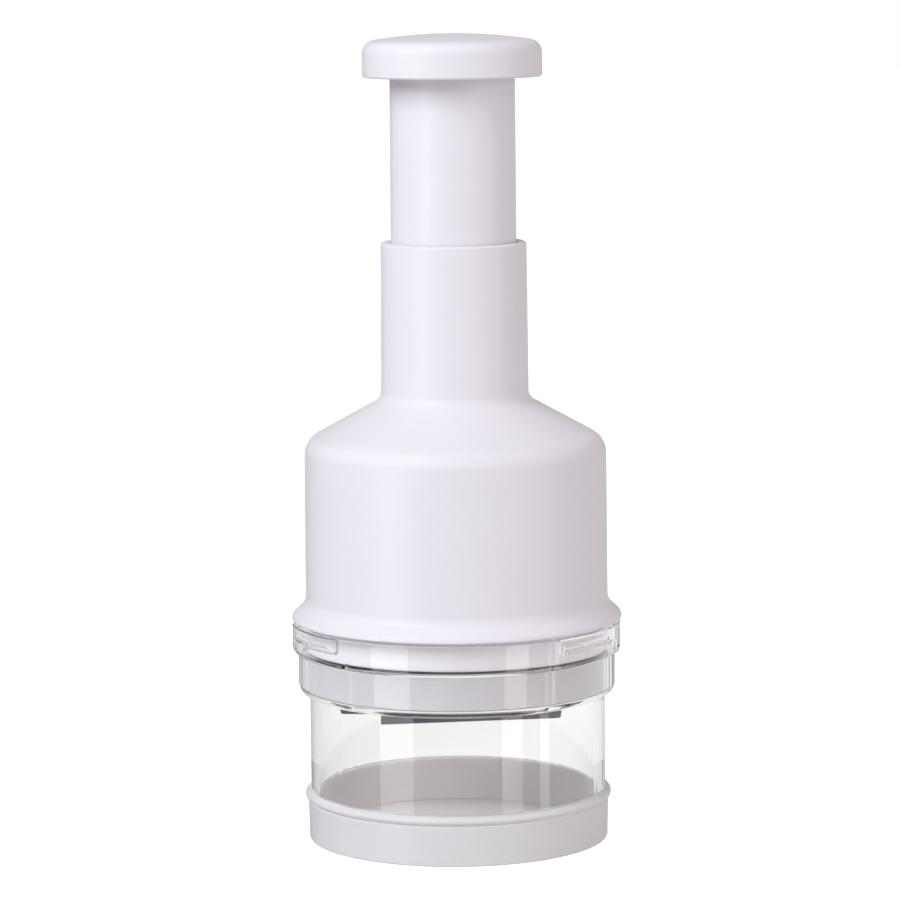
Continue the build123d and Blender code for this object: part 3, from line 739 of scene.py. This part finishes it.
class CHOPPER_OT_stage(bpy.types.Operator):
    """Camera, soft studio lamps, white room and pale floor."""

    bl_idname = "chopper.stage"
    bl_label = "Studio"

    def execute(self, context):
        scene = context.scene
        stage = scene.chopper_stage
        self.camera(scene, stage)
        self.room(scene, stage)
        self.floor(scene)
        cool = (0.9, 0.955, 1.0)
        neutral = (1.0, 0.97, 0.985)
        warm = (1.0, 0.95, 0.95)
        key = self.softbox(scene, "key_softbox", side=-45, distance=1.1, spread=(0.9, 0.9), height=1.0,
                           radiance=stage.key_light, tint=cool)
        fill = self.softbox(scene, "fill_softbox", side=66, distance=1.3, spread=(0.6, 0.6), height=0.35,
                            radiance=stage.fill_light, tint=warm)
        key.visible_glossy = fill.visible_glossy = False
        # Upright strips that show in gloss and clear plastic; the left one lights nothing else
        for name, side, width, level, tint in (("left_strip", -48, 0.62, 0.78, neutral),
                                               ("right_strip", 42, 0.37, 0.8, warm),
                                               ("side_strip", 69, 0.21, 0.8, warm)):
            strip = self.softbox(scene, name, side=side, distance=1.25, spread=(width, 0.5), height=-0.04,
                                 radiance=stage.strip_light * level, tint=tint)
            strip.visible_diffuse = side > 0
        scene.view_settings.view_transform = "Standard"
        return {"FINISHED"}

    def camera(self, scene, stage):
        """Long lens at the height of the neck, tilted slightly down."""
        data = bpy.data.cameras.new("studio_camera")
        data.sensor_width = 36.0
        data.lens = stage.lens
        data.clip_end = 30.0
        camera = bpy.data.objects.new("studio_camera", data)
        place = Matrix.Translation((-stage.camera_side, -stage.camera_distance, stage.camera_height))
        tilt = Matrix.Rotation(math.pi / 2 - stage.camera_pitch, 4, "X")
        roll = Matrix.Rotation(stage.camera_roll, 4, "Z")
        camera.matrix_world = place @ tilt @ roll
        scene.collection.objects.link(camera)
        scene.camera = camera

    def room(self, scene, stage):
        """White room: plain light on the object, white where it is seen, mirrored or seen through."""
        world = bpy.data.worlds.new("white_room")
        scene.world = world
        world.use_nodes = True
        tree = world.node_tree
        tree.nodes.clear()
        path = node(tree, "LightPath").outputs
        direction = node(tree, "TexCoord").outputs["Generated"]
        toward = node(tree, "SeparateXYZ", {"Vector": direction}).outputs
        # Depths are whole numbers, so half a step tells them apart
        half_step, several = 0.5, 5.5
        # Only light that no matt face has scattered yet finds the room white
        seen = node(tree, "Math", {0: path["Is Camera Ray"], 1: path["Is Transmission Ray"]},
                    operation="MAXIMUM")
        seen = node(tree, "Math", {0: seen, 1: path["Is Glossy Ray"]}, operation="MAXIMUM")
        direct = node(tree, "Math", {0: path["Diffuse Depth"], 1: half_step}, operation="LESS_THAN")
        seen = node(tree, "Math", {0: seen, 1: direct}, operation="MULTIPLY")
        # A first mirror image shows a room that is dim on the left, fair in front and bright on the right
        rising = (0.4, -0.12, 0.1)
        across = node(tree, "VectorMath", {0: direction, 1: rising}, operation="DOT_PRODUCT")
        mirrored = node(tree, "Math", {0: across.outputs["Value"], 1: stage.room_gloss}, operation="ADD")
        first = node(tree, "Math", {0: path["Glossy Depth"], 1: 1.0, 2: half_step}, operation="COMPARE")
        level = node(tree, "Mix", {"Factor": first, 2: 1.0, 3: mirrored}, data_type="FLOAT")
        # The room lights the object mostly from above and a little from the right
        overhead = (0.6, 0, 1)
        slant = node(tree, "VectorMath", {0: direction, 1: overhead}, operation="DOT_PRODUCT")
        dome = node(tree, "MapRange", {
            "Value": slant.outputs["Value"], "From Max": 0.6,
            "To Min": stage.wall_light, "To Max": stage.ceiling_light})
        # A high window behind shines into the clear chamber, and a low one in front makes up for what
        # several of its walls have turned back
        sill, lintel = 0.2, 0.4
        behind = node(tree, "MapRange", {"Value": toward["Y"], "From Max": 0.3, "To Max": stage.back_window})
        high = node(tree, "MapRange", {"Value": toward["Z"], "From Min": sill, "From Max": lintel})
        behind = node(tree, "Math", {0: behind, 1: high}, operation="MULTIPLY")
        middle, half_height = 0.3, 0.18
        low = node(tree, "Math", {0: toward["Z"], 1: middle, 2: half_height}, operation="COMPARE")
        deep = node(tree, "Math", {0: path["Transmission Depth"], 1: several}, operation="GREATER_THAN")
        low = node(tree, "Math", {0: low, 1: deep}, operation="MULTIPLY")
        front = node(tree, "Math", {0: toward["Y"], 1: -stage.front_window}, operation="MULTIPLY")
        front = node(tree, "Math", {0: low, 1: front}, operation="MULTIPLY")
        inside = node(tree, "Math", {0: behind, 1: front}, operation="MAXIMUM")
        inside = node(tree, "Math", {0: inside, 1: path["Is Transmission Ray"]}, operation="MULTIPLY")
        glow = node(tree, "Math", {0: dome, 1: inside}, operation="ADD")
        light = node(tree, "Background", {"Color": (1.0, 0.945, 0.96, 1), "Strength": glow})
        white = node(tree, "Background", {"Color": (1, 1, 1, 1), "Strength": level})
        mixed = node(tree, "MixShader", {"Fac": seen, 1: light, 2: white})
        node(tree, "OutputWorld", {"Surface": mixed})

    def floor(self, scene):
        """Pale matt floor that keeps the object's shadow."""
        bm = bmesh.new()
        bmesh.ops.create_grid(bm, x_segments=1, y_segments=1, size=6.0)
        bmesh.ops.translate(bm, vec=(0, 0, -FLOOR_GAP), verts=bm.verts)
        mesh = bpy.data.meshes.new("studio_floor")
        bm.to_mesh(mesh)
        bm.free()
        floor = bpy.data.objects.new("studio_floor", mesh)
        scene.collection.objects.link(floor)
        material, tree = new_material("white_paper_sweep")
        path = node(tree, "LightPath").outputs
        paper = node(tree, "BsdfDiffuse", {"Color": (0.7, 0.7, 0.7, 1), "Roughness": 0.0})
        white = node(tree, "Emission", {"Color": (1, 1, 1, 1), "Strength": 1.0})
        # The camera sees the white room through the paper, so nothing that goes below it is hidden
        sheer = node(tree, "BsdfTransparent", {"Color": (0.76, 0.76, 0.76, 1)})
        lifted = node(tree, "AddShader", {0: paper, 1: sheer})
        mixed = node(tree, "MixShader", {"Fac": path["Is Camera Ray"], 1: paper, 2: lifted})
        # Through the clear chamber the paper is as white as the room
        mixed = node(tree, "MixShader", {"Fac": path["Is Transmission Ray"], 1: mixed, 2: white})
        node(tree, "OutputMaterial", {"Surface": mixed})
        mesh.materials.append(material)
        floor.visible_glossy = False

    def softbox(self, scene, name, side, distance, spread, height, radiance, tint):
        """Softbox that faces the chopper from a bearing, in degrees right of the camera."""
        data = bpy.data.lights.new(name, "AREA")
        data.shape = "RECTANGLE"
        data.size, data.size_y = spread
        data.energy = radiance * math.pi * spread[0] * spread[1]
        data.color = tint
        lamp = bpy.data.objects.new(name, data)
        bearing = math.radians(side)
        spot = Vector((math.sin(bearing) * distance, -math.cos(bearing) * distance, height))
        aim = Vector((0, 0, min(height, AIM_HEIGHT))) - spot
        facing = aim.to_track_quat("-Z", "Y").to_matrix().to_4x4()
        lamp.matrix_world = Matrix.Translation(spot) @ facing
        scene.collection.objects.link(lamp)
        return lamp


class CHOPPER_PT_panel(bpy.types.Panel):
    """Sizes, colours and pieces of the chopper."""

    bl_idname = "CHOPPER_PT_panel"
    bl_label = "Food chopper"
    bl_space_type = "VIEW_3D"
    bl_region_type = "UI"
    bl_category = "Chopper"

    def draw(self, context):
        for operator in OPERATORS:
            self.layout.operator(operator.bl_idname)
        for group in (getattr(context.scene, name) for name in GROUPS):
            box = self.layout.box()
            for name in group.__annotations__:
                box.prop(group, name)


OPERATORS = (
    CHOPPER_OT_materials,
    CHOPPER_OT_knob,
    CHOPPER_OT_housing,
    CHOPPER_OT_chamber,
    CHOPPER_OT_base_cup,
    CHOPPER_OT_spring,
    CHOPPER_OT_fitted,
    CHOPPER_OT_stage,
)
GROUPS = {
    "chopper_sizes": ChopperSizes,
    "chamber_sizes": ChamberSizes,
    "chopper_colours": ChopperColours,
    "chopper_stage": ChopperStage,
}


def register():
    """Registers the groups, operators and panel."""
    for name, group in GROUPS.items():
        bpy.utils.register_class(group)
        setattr(bpy.types.Scene, name, bpy.props.PointerProperty(type=group))
    for operator in OPERATORS:
        bpy.utils.register_class(operator)
    bpy.utils.register_class(CHOPPER_PT_panel)


def unregister():
    """Removes the panel, operators and groups."""
    bpy.utils.unregister_class(CHOPPER_PT_panel)
    for operator in reversed(OPERATORS):
        bpy.utils.unregister_class(operator)
    for name, group in GROUPS.items():
        delattr(bpy.types.Scene, name)
        bpy.utils.unregister_class(group)


def main():
    """Builds every piece and the studio."""
    register()
    for operator in OPERATORS:
        category, name = operator.bl_idname.split(".")
        getattr(getattr(bpy.ops, category), name)()


if __name__ == "__main__":
    main()
